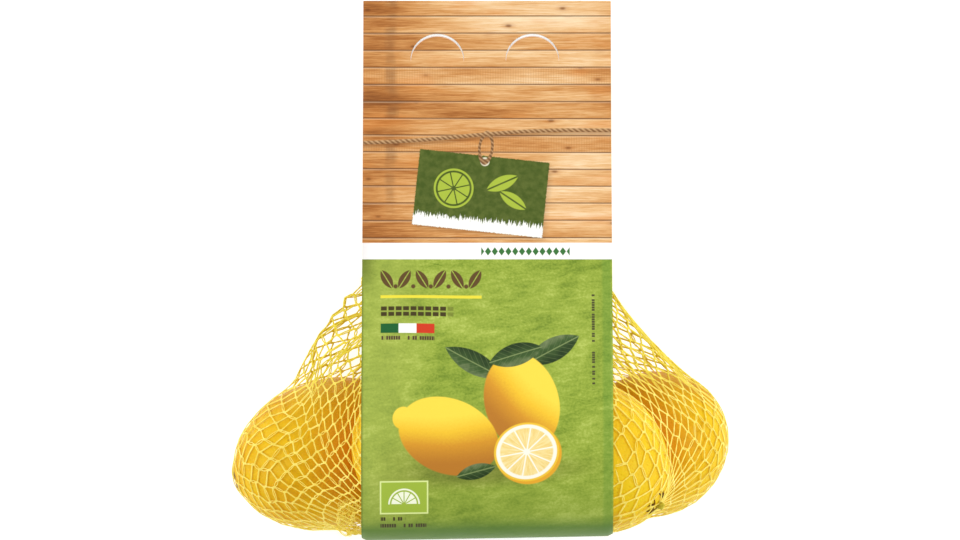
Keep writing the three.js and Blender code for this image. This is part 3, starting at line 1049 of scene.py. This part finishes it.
def tight_tube():
    """The tube of netting drawn tight on the lemons, as a grid along and around it."""
    share = np.linspace(0, 1, ALONG + 1)[:, None]
    angle = 2 * np.pi * np.arange(AROUND)[None, :] / AROUND
    belly = LOOSE_BELLY * np.sqrt(np.maximum(np.sin(np.pi * share), 0))
    half_width = lerp(NECK_HALF_WIDTH, SEAM_HALF_WIDTH, share) + belly
    x = SEAM_CENTRE_X * share + half_width * np.cos(angle)
    y = lerp(NET_END_Y, SEAM_Y, share) + 0 * angle
    z = lerp(NECK_Z, SEAM_Z, share) + (WELD_HALF_THICKNESS + belly) * np.sin(angle)
    tube = np.stack([x, y, z], axis=-1)
    slack_pull = HOOP_PULLS[0] * smoothstep(0, SLACK_LENGTH, share[1:-1, :, None])
    for _ in range(PASSES):
        inner = tube[1:-1]
        depth = inner[..., 1:2]
        taut = smoothstep(*TAUT_RISE_Y, depth) * (1 - smoothstep(*TAUT_FALL_Y, depth))
        hoop = (np.roll(inner, 1, axis=1) + np.roll(inner, -1, axis=1)) / 2 - inner
        length = (tube[:-2] + tube[2:]) / 2 - inner
        hoop_pull = lerp(slack_pull, HOOP_PULLS[1], taut)
        moved = inner + 2 * hoop_pull * hoop + 2 * lerp(*LENGTH_PULLS, taut) * length
        tube[1:-1] = keep_inside(push_out(moved, NETTING_STAND_OFF))
    return bulge_fans(tube)


def spread(tube):
    """The same surface with an even grid: each point slides to the middle of its neighbours."""
    tube = tube.copy()
    for _ in range(SPREAD_PASSES):
        inner = tube[1:-1]
        before = np.roll(inner, 1, axis=1)
        after = np.roll(inner, -1, axis=1)
        normal = unit(np.cross(after - before, tube[2:] - tube[:-2]))
        slide = (before + after + tube[2:] + tube[:-2]) / 4 - inner
        slide = slide - normal * (slide * normal).sum(axis=-1, keepdims=True)
        tube[1:-1] = keep_inside(push_out(inner + slide, NETTING_STAND_OFF))
    return tube


def evened(tube):
    """The same tube with the columns of each half spread by length, and denser under the film."""
    half = AROUND // 2
    share = np.arange(COLUMNS // 2) / (COLUMNS // 2)
    rows = []
    for row in tube:
        closed = np.concatenate([row, row[:1]])
        for side in (closed[: half + 1], closed[half:]):
            step = norm(np.diff(side, axis=0))
            x, y, _ = ((side[1:] + side[:-1]) / 2).T
            gather = lerp(FAN_GATHER, PILE_GATHER, smoothstep(*PILE_START_Y, y))
            gather = lerp(gather, FOOT_GATHER, smoothstep(*FOOT_START_Y, y))
            gather = gather * smoothstep(BAND_MARGIN, -BAND_MARGIN, beside_band(x))
            passed = np.concatenate([[0], np.cumsum(step * (1 + gather))])
            rows.append([np.interp(passed[-1] * share, passed, column) for column in side.T])
    return np.stack(rows).transpose(0, 2, 1).reshape(len(tube), COLUMNS, 3)


def sample(grid, around, along):
    """The grid's value at places around and along the tube, both from 0 to 1."""
    i = (around % 1) * COLUMNS
    j = np.clip(along, 0, 1) * ALONG
    i0 = np.floor(i).astype(int) % COLUMNS
    j0 = np.minimum(np.floor(j).astype(int), ALONG - 1)
    i1 = (i0 + 1) % COLUMNS
    i_share = (i - np.floor(i))[..., None]
    near = lerp(grid[j0, i0], grid[j0, i1], i_share)
    far = lerp(grid[j0 + 1, i0], grid[j0 + 1, i1], i_share)
    return lerp(near, far, (j - j0)[..., None])


def change(tube, around, along, turn, length):
    """How fast the place on the tube changes with a small step around or along it."""
    ahead = sample(tube, around + turn, along + length)
    return (ahead - sample(tube, around - turn, along - length)) / (2 * NUDGE)


def hoops(tube):
    """The vectors round the tube from each point's neighbour before it to the one after it."""
    return np.roll(tube, -1, axis=1) - np.roll(tube, 1, axis=1)


def row_places(tube):
    """How far along the tube each row of knots lies, for each column of it."""
    half_cell = norm(hoops(tube)) * COLUMNS / CELLS_AROUND / 4
    lowest = (FLATTEST_CELL * CELL_SIDE) ** 2
    half_height = np.sqrt(np.maximum(CELL_SIDE**2 - half_cell**2, lowest))
    step = norm(np.diff(tube, axis=0))
    passed = np.cumsum(step / ((half_height[1:] + half_height[:-1]) / 2), axis=0)
    passed = np.concatenate([np.zeros((1, COLUMNS)), passed])
    rows = int(round(passed[-1].mean()))
    passed *= rows / passed[-1]
    share = np.linspace(0, 1, ALONG + 1)
    return np.stack([np.interp(range(rows + 1), column, share) for column in passed.T], axis=1)


def bunched(around, along):
    """Draws the columns of knots together where the netting lies in thick folds over the fans."""
    shift = 0
    run = smoothstep(*FOLD_RUN, along)
    for start, end, width, pull in FAN_FOLDS:
        away = (around - lerp(start, end, run) + 0.5) % 1 - 0.5
        shift = shift - pull * away * np.exp(-((away / width) ** 2))
    return shift * smoothstep(0.0, 0.08, along) * smoothstep(0.52, 0.4, along)


def free_share(along):
    """1 where the netting is free to shift, and 0 at the neck and at the seam."""
    return np.sin(np.pi * np.clip(along, 0, 1)) ** 0.5


def knots(tube):
    """Each knot's place around and along the tube, in rows half a cell apart."""
    places = row_places(tube)
    rows = len(places)
    count = 2 * CELLS_AROUND
    around = np.tile(np.arange(count) / count, (rows, 1))
    wide = np.concatenate([places, places[:, :1]], axis=1)
    along = np.stack([np.interp(around[0] * COLUMNS, np.arange(COLUMNS + 1), row) for row in wide])
    around = around + bunched(around, along)
    drift = np.zeros_like(around)
    for waves_around, waves_along, size in DRIFT_WAVES:
        phase = random.uniform(0, 2 * np.pi)
        drift += size * np.sin(2 * np.pi * (waves_around * around + waves_along * along) + phase)
    free = free_share(along)
    drift *= lerp(0.2, 1, smoothstep(*DRIFT_START, along))
    around = around + free * (drift + random.normal(0, JITTER, around.shape)) / CELLS_AROUND
    along = along + free * random.normal(0, JITTER, along.shape) / (rows / 2)
    return around, along


def turned(tube, around, along):
    """Turns the pattern of knots about one place, and less with the distance from it."""
    per_turn = change(tube, around, along, NUDGE, 0)
    per_length = change(tube, around, along, 0, NUDGE)
    away = sample(tube, around, along) - TURN_CENTRE
    fade = np.exp(-((norm(away) / TURN_REACH) ** 2))
    angle = math.radians(TURN_ANGLE) * fade
    less, sine = np.cos(angle) - 1, np.sin(angle)
    x, y, _ = np.moveaxis(away, -1, 0)
    shift = np.stack([x * less - y * sine, x * sine + y * less, 0 * x], axis=-1)
    around = around + (shift * per_turn).sum(axis=-1) / (per_turn**2).sum(axis=-1)
    step = (shift * per_length).sum(axis=-1) / (per_length**2).sum(axis=-1)
    return around, along + free_share(along) * step


def yarn_filaments(tube, normals, around, along, row):
    """The two filaments of one yarn, which zigzags round the tube between two rows of knots."""
    count = around.shape[1]
    step = np.arange(count)
    lower = (step + row) % 2
    u = around[row + lower, step]
    v = along[row + lower, step]
    hoop = unit(change(tube, u, v, NUDGE, 0))
    normal = unit(sample(normals, u, v))
    toward_seam = unit(np.cross(normal, hoop))
    place = sample(tube, u, v) + toward_seam * TIE_OFFSET * (1 - 2 * lower[:, None])
    tie_end = place + hoop * TIE_HALF_LENGTH
    next_start = np.roll(place - hoop * TIE_HALF_LENGTH, -1, axis=0)
    next_normal = np.roll(normal, -1, axis=0)
    path = np.stack([lerp(tie_end, next_start, share) for share in SIDE_SHARES], axis=1)
    path = path.reshape(-1, 3)
    facing = unit(np.stack([lerp(normal, next_normal, share) for share in SIDE_SHARES], axis=1))
    facing = facing.reshape(-1, 3)
    direction = unit(np.roll(path, -1, axis=0) - np.roll(path, 1, axis=0))
    beside = unit(np.cross(facing, direction))
    share = np.tile(SIDE_SHARES, count)
    opened = random.random(count) < PARTED_YARNS
    opened = np.where(opened, random.uniform(*PARTED_BY, count), 0.0)
    twisted = np.where(opened > 0, 0, random.integers(0, 2, count))
    opened, twisted = (np.repeat(part, len(SIDE_SHARES)) for part in (opened, twisted))
    spacing = (FILAMENT_OFFSET + opened * np.sin(np.pi * share))[:, None]
    angle = (2 * np.pi * twisted * share)[:, None]
    offset = spacing * (np.cos(angle) * beside + 0.6 * np.sin(angle) * facing)
    return [keep_inside(push_out(path + side * offset, FILAMENT_RADIUS * 0.9)) for side in (1, -1)]


def make_netting():
    tube = evened(spread(tight_tube()))
    normals = unit(np.cross(hoops(tube), np.gradient(tube, axis=0)))
    around, along = turned(tube, *knots(tube))
    rows = len(around) - 1
    yarns = [yarn_filaments(tube, normals, around, along, row) for row in range(rows)]
    for number, part in enumerate(np.array_split(np.arange(rows), NETTING_PIECES), 1):
        make_threads(f"netting_{number}", [filament for row in part for filament in yarns[row]])


def make_threads(name, lines):
    """One piece of closed round threads along lines of points."""
    curve = bpy.data.curves.new(name, "CURVE")
    curve.dimensions = "3D"
    curve.bevel_depth = FILAMENT_RADIUS * MM
    curve.bevel_resolution = 1
    for line in lines:
        spline = curve.splines.new("POLY")
        spline.points.add(len(line) - 1)
        swelling = lerp(1, FAN_THREAD, smoothstep(*SLACK_Y, line[:, 1]))
        spline.points.foreach_set("radius", swelling)
        points = np.concatenate([line * MM, np.ones((len(line), 1))], axis=1)
        spline.points.foreach_set("co", points.ravel())
        spline.use_cyclic_u = True
    rough = linked("rough_threads", curve)
    mesh = evaluated_mesh(rough)
    bpy.data.objects.remove(rough)
    settled(mesh, name, NETTING, "net_of_lemons")


# ---- the film band


class BandPath:
    """The strip of film from the header's front end, round the lemons, to its back end."""

    def __init__(self):
        middle = HEADER_LINE + left_of(HEADER_LINE) * PLY
        passed = lengths_along(middle)
        lay = lerp(HEADER_LAY, PLY, smoothstep(16, 0, passed[-1] - passed))[:, None]
        aside = left_of(middle) * lay
        back = (middle + aside)[::-1]
        self.line = np.concatenate([(middle - aside)[:-1], UPPER_LINE, LOWER_LINE[1:], back[1:]])
        self.lengths = lengths_along(self.line)
        self.total = self.lengths[-1]
        padded = np.pad(-left_of(self.line), ((2, 2), (0, 0)), mode="edge")
        smooth = [np.convolve(column, np.ones(5) / 5, "valid") for column in padded.T]
        self.outward = unit(np.stack(smooth, axis=1))
        self.neck = self.lengths[len(middle) - 1]
        self.back_neck = self.total - self.neck
        upper = lengths_along(UPPER_LINE)
        self.turn = self.neck + np.interp(-PRINT_TURN_Y, -UPPER_LINE[:, 0], upper)
        flat_start = np.argmin(np.abs(LOWER_LINE - UNDER_START).sum(axis=1))
        self.under = self.neck + upper[-1] + lengths_along(LOWER_LINE)[flat_start]

    def at(self, s):
        """The place along the strip and the outward direction there, as y, z, y and z."""
        columns = (*self.line.T, *self.outward.T)
        return [np.interp(s, self.lengths, column) for column in columns]

    def print_place(self, s, under):
        """Where along the print a place on the strip is."""
        y = self.at(s)[0]
        front = np.where(s > self.turn, PRINT_TURN_Y - (s - self.turn), y)
        return np.where(under, y - BACK_SHIFT, front)

    def length_at_y(self, y):
        """How far along the strip a place on the header's front is."""
        header = self.lengths <= self.neck
        return np.interp(-y, -self.line[header, 0], self.lengths[header])


def slit_prism(centre_x, centre_s, opening, upside):
    """A prism in the shape of a finger slit, through the flat strip."""
    cutter = bmesh.new()
    turn = np.linspace(0, math.pi, 40)
    for radius, drop, angles in (
        (SLIT_RADIUS, 0, turn),
        (SLIT_RADIUS - SLIT_TIP, opening, turn[::-1]),
    ):
        for angle in angles:
            x = centre_x + math.cos(angle) * radius
            cutter.verts.new((x, centre_s + (math.sin(angle) * radius - drop) * upside, -1))
    face = cutter.faces.new(list(cutter.verts))
    lifted = bmesh.ops.extrude_face_region(cutter, geom=[face])
    bmesh.ops.translate(cutter, verts=vertices_of(lifted), vec=(0, 0, 2))
    bmesh.ops.recalc_face_normals(cutter, faces=cutter.faces)
    return mesh_of(cutter, "slit")


def subtract(mesh, cutters):
    """A mesh less some others, by live Boolean modifiers that are then applied."""
    piece = linked("strip", mesh)
    tools = [linked("slit", cutter) for cutter in cutters]
    for tool in tools:
        cut = piece.modifiers.new("slit", "BOOLEAN")
        cut.operation = "DIFFERENCE"
        cut.solver = "EXACT"
        cut.object = tool
    result = evaluated_mesh(piece)
    for rough in (piece, *tools):
        bpy.data.objects.remove(rough)
    return result


def flat_strip(path):
    """The band's film before it is bent: width along x, length along y, its outside at z = 0."""
    columns = round(BAND_WIDTH / FILM_CELL)
    rows = round(path.total / FILM_CELL)
    shape = bmesh.new()
    bmesh.ops.create_grid(shape, x_segments=columns, y_segments=rows, size=0.5)
    bmesh.ops.scale(shape, vec=(BAND_WIDTH, path.total, 1), verts=shape.verts)
    bmesh.ops.translate(shape, vec=(BAND_CENTRE_X, path.total / 2, 0), verts=shape.verts)
    bmesh.ops.solidify(shape, geom=shape.faces[:], thickness=FILM)
    lift = max(v.co.z for v in shape.verts)
    bmesh.ops.translate(shape, vec=(0, 0, -lift), verts=shape.verts)
    bmesh.ops.recalc_face_normals(shape, faces=shape.faces)
    front = path.length_at_y(SLIT_CENTRE_Y)
    back = path.total - front - SLIT_OPEN * 0.8
    cutters = []
    for x in SLIT_CENTRES_X:
        cutters.append(slit_prism(x, front, SLIT_OPEN, -1))
        cutters.append(slit_prism(x, back, SLIT_TIP * 2, 1))
    return subtract(mesh_of(shape, "strip"), cutters)


def pushed(path, x, s, y, z):
    """How far ripples, a dent over the lemons and waves in the header push the film outwards."""
    on_slope = smoothstep(path.neck, path.neck + 40, s) * smoothstep(path.turn, path.turn - 50, s)
    ripple = 0.35 * np.sin(x / 8.5 + np.sin(s / 31) * 1.3) + 0.25 * np.sin(x / 21 + s / 43)
    dent = DENT_DEPTH * np.exp(-(((x - DENT_X) / DENT_WIDTH) ** 2))
    dent = dent * smoothstep(path.turn - 90, path.turn - 40, s)
    dent = dent * smoothstep(path.turn + 10, path.turn - 10, s)
    front_header = smoothstep(path.neck, path.neck - 30, s)
    back_header = smoothstep(path.back_neck, path.back_neck + 30, s)
    wave = np.sin(y / 17 + x / 60) * lerp(0.15, 0.5, smoothstep(1, 25, z))
    wave = wave * smoothstep(HEADER_END_Y, 102, y) * (front_header - back_header)
    return on_slope * (ripple * 0.8 - 0.1) - dent + wave


def make_film_band():
    path = BandPath()
    mesh = flat_strip(path)
    x, s, h = gathered(mesh.vertices, "co", 3).T
    inside = gathered(mesh.polygons, "normal", 3)[:, 2] < 0.5
    y, z, out_y, out_z = path.at(s)
    h = h + pushed(path, x, s, y, z)
    across = np.abs(x - BAND_CENTRE_X) / (BAND_WIDTH / 2)
    y = y + out_y * h + CORNER_ROUND * smoothstep(0.965, 1, across) ** 2 * smoothstep(-105, -112, y)
    z = z + out_z * h
    z = np.maximum(z - edge_drop_at(x, z), 0)
    placed = np.stack([x, y + skew_at(x, y), z], axis=1)
    left_edge_shade = gathered(mesh.loops, "vertex_index")
    count = gathered(mesh.polygons, "loop_total")
    middle = np.add.reduceat(s[left_edge_shade], gathered(mesh.polygons, "loop_start")) / count
    under = np.repeat(middle > path.under, count)
    uv = np.stack([x[left_edge_shade], path.print_place(s[left_edge_shade], under)], axis=1)
    mesh.uv_layers.new(name="print").data.foreach_set("uv", uv.ravel())
    mesh.vertices.foreach_set("co", (placed * MM).ravel())
    mesh.materials.clear()
    mesh.materials.append(PRINTED)
    mesh.materials.append(INSIDE)
    mesh.polygons.foreach_set("material_index", inside.astype(int))
    settled(mesh, "film_band_printed", None, "film_band")
    mesh.set_sharp_from_angle(angle=math.radians(40))
    mesh.update()


# ---- the welded seam


def make_seam():
    """The flat, crimped weld that closes the netting past the lemons."""
    shape = bmesh.new()
    bmesh.ops.create_grid(shape, x_segments=150, y_segments=4, size=0.5)
    torn = SEAM_HALF_WIDTH * (1 - SEAM_SHARE)
    for v in shape.verts:
        x = v.co.x * 2 * SEAM_HALF_WIDTH * SEAM_SHARE
        crimp = 0.2 * math.sin(x * 2.3)
        y = SEAM_Y + 0.5 + v.co.y * 1.5 + skew_at(x, SEAM_Y) + crimp
        z = SEAM_Z + 0.5 * math.sin(x * 1.7) + 1.2 * math.sin(x * 0.21 + 1)
        v.co = (SEAM_CENTRE_X - torn + x, y, z)
    bmesh.ops.solidify(shape, geom=shape.faces[:], thickness=0.5)
    bmesh.ops.recalc_face_normals(shape, faces=shape.faces)
    finished(shape, "netting_seam", NETTING)


def make_tuft():
    """Loose loops of thread, crumpled where the seam sticks out beside the film."""
    loops = []
    turn = np.linspace(0, 2 * np.pi, 25)[:-1]
    for _ in range(TUFT_LOOPS):
        centre = np.array(TUFT_PLACE) + random.uniform(-1, 1, 3) * TUFT_REACH
        first, second = (unit(random.normal(0, 1, 3)) for _ in range(2))
        wide, high = random.uniform(1.3, 3.0, 2)
        bend = 0.5 * np.sin(3 * turn + random.uniform(0, 6))
        loop = centre + np.outer(np.cos(turn) * wide, first) + np.outer(np.sin(turn) * high, second)
        loop = loop + np.outer(bend, np.cross(first, second))
        loops.append(push_out(loop, 2 * FILAMENT_OFFSET))
    make_threads("netting_tuft", loops)


# ---- the whole scene

place_camera()
light_scene()
make_floor()

PEEL = peel_finish()
CALYX = calyx_finish()
NETTING = netting_finish()
PRINTED = printed_film()
INSIDE = film_inside()

for index, lemon in enumerate(LEMONS):
    make_lemon(index, *lemon)
make_netting()
make_seam()
make_tuft()
make_film_band()
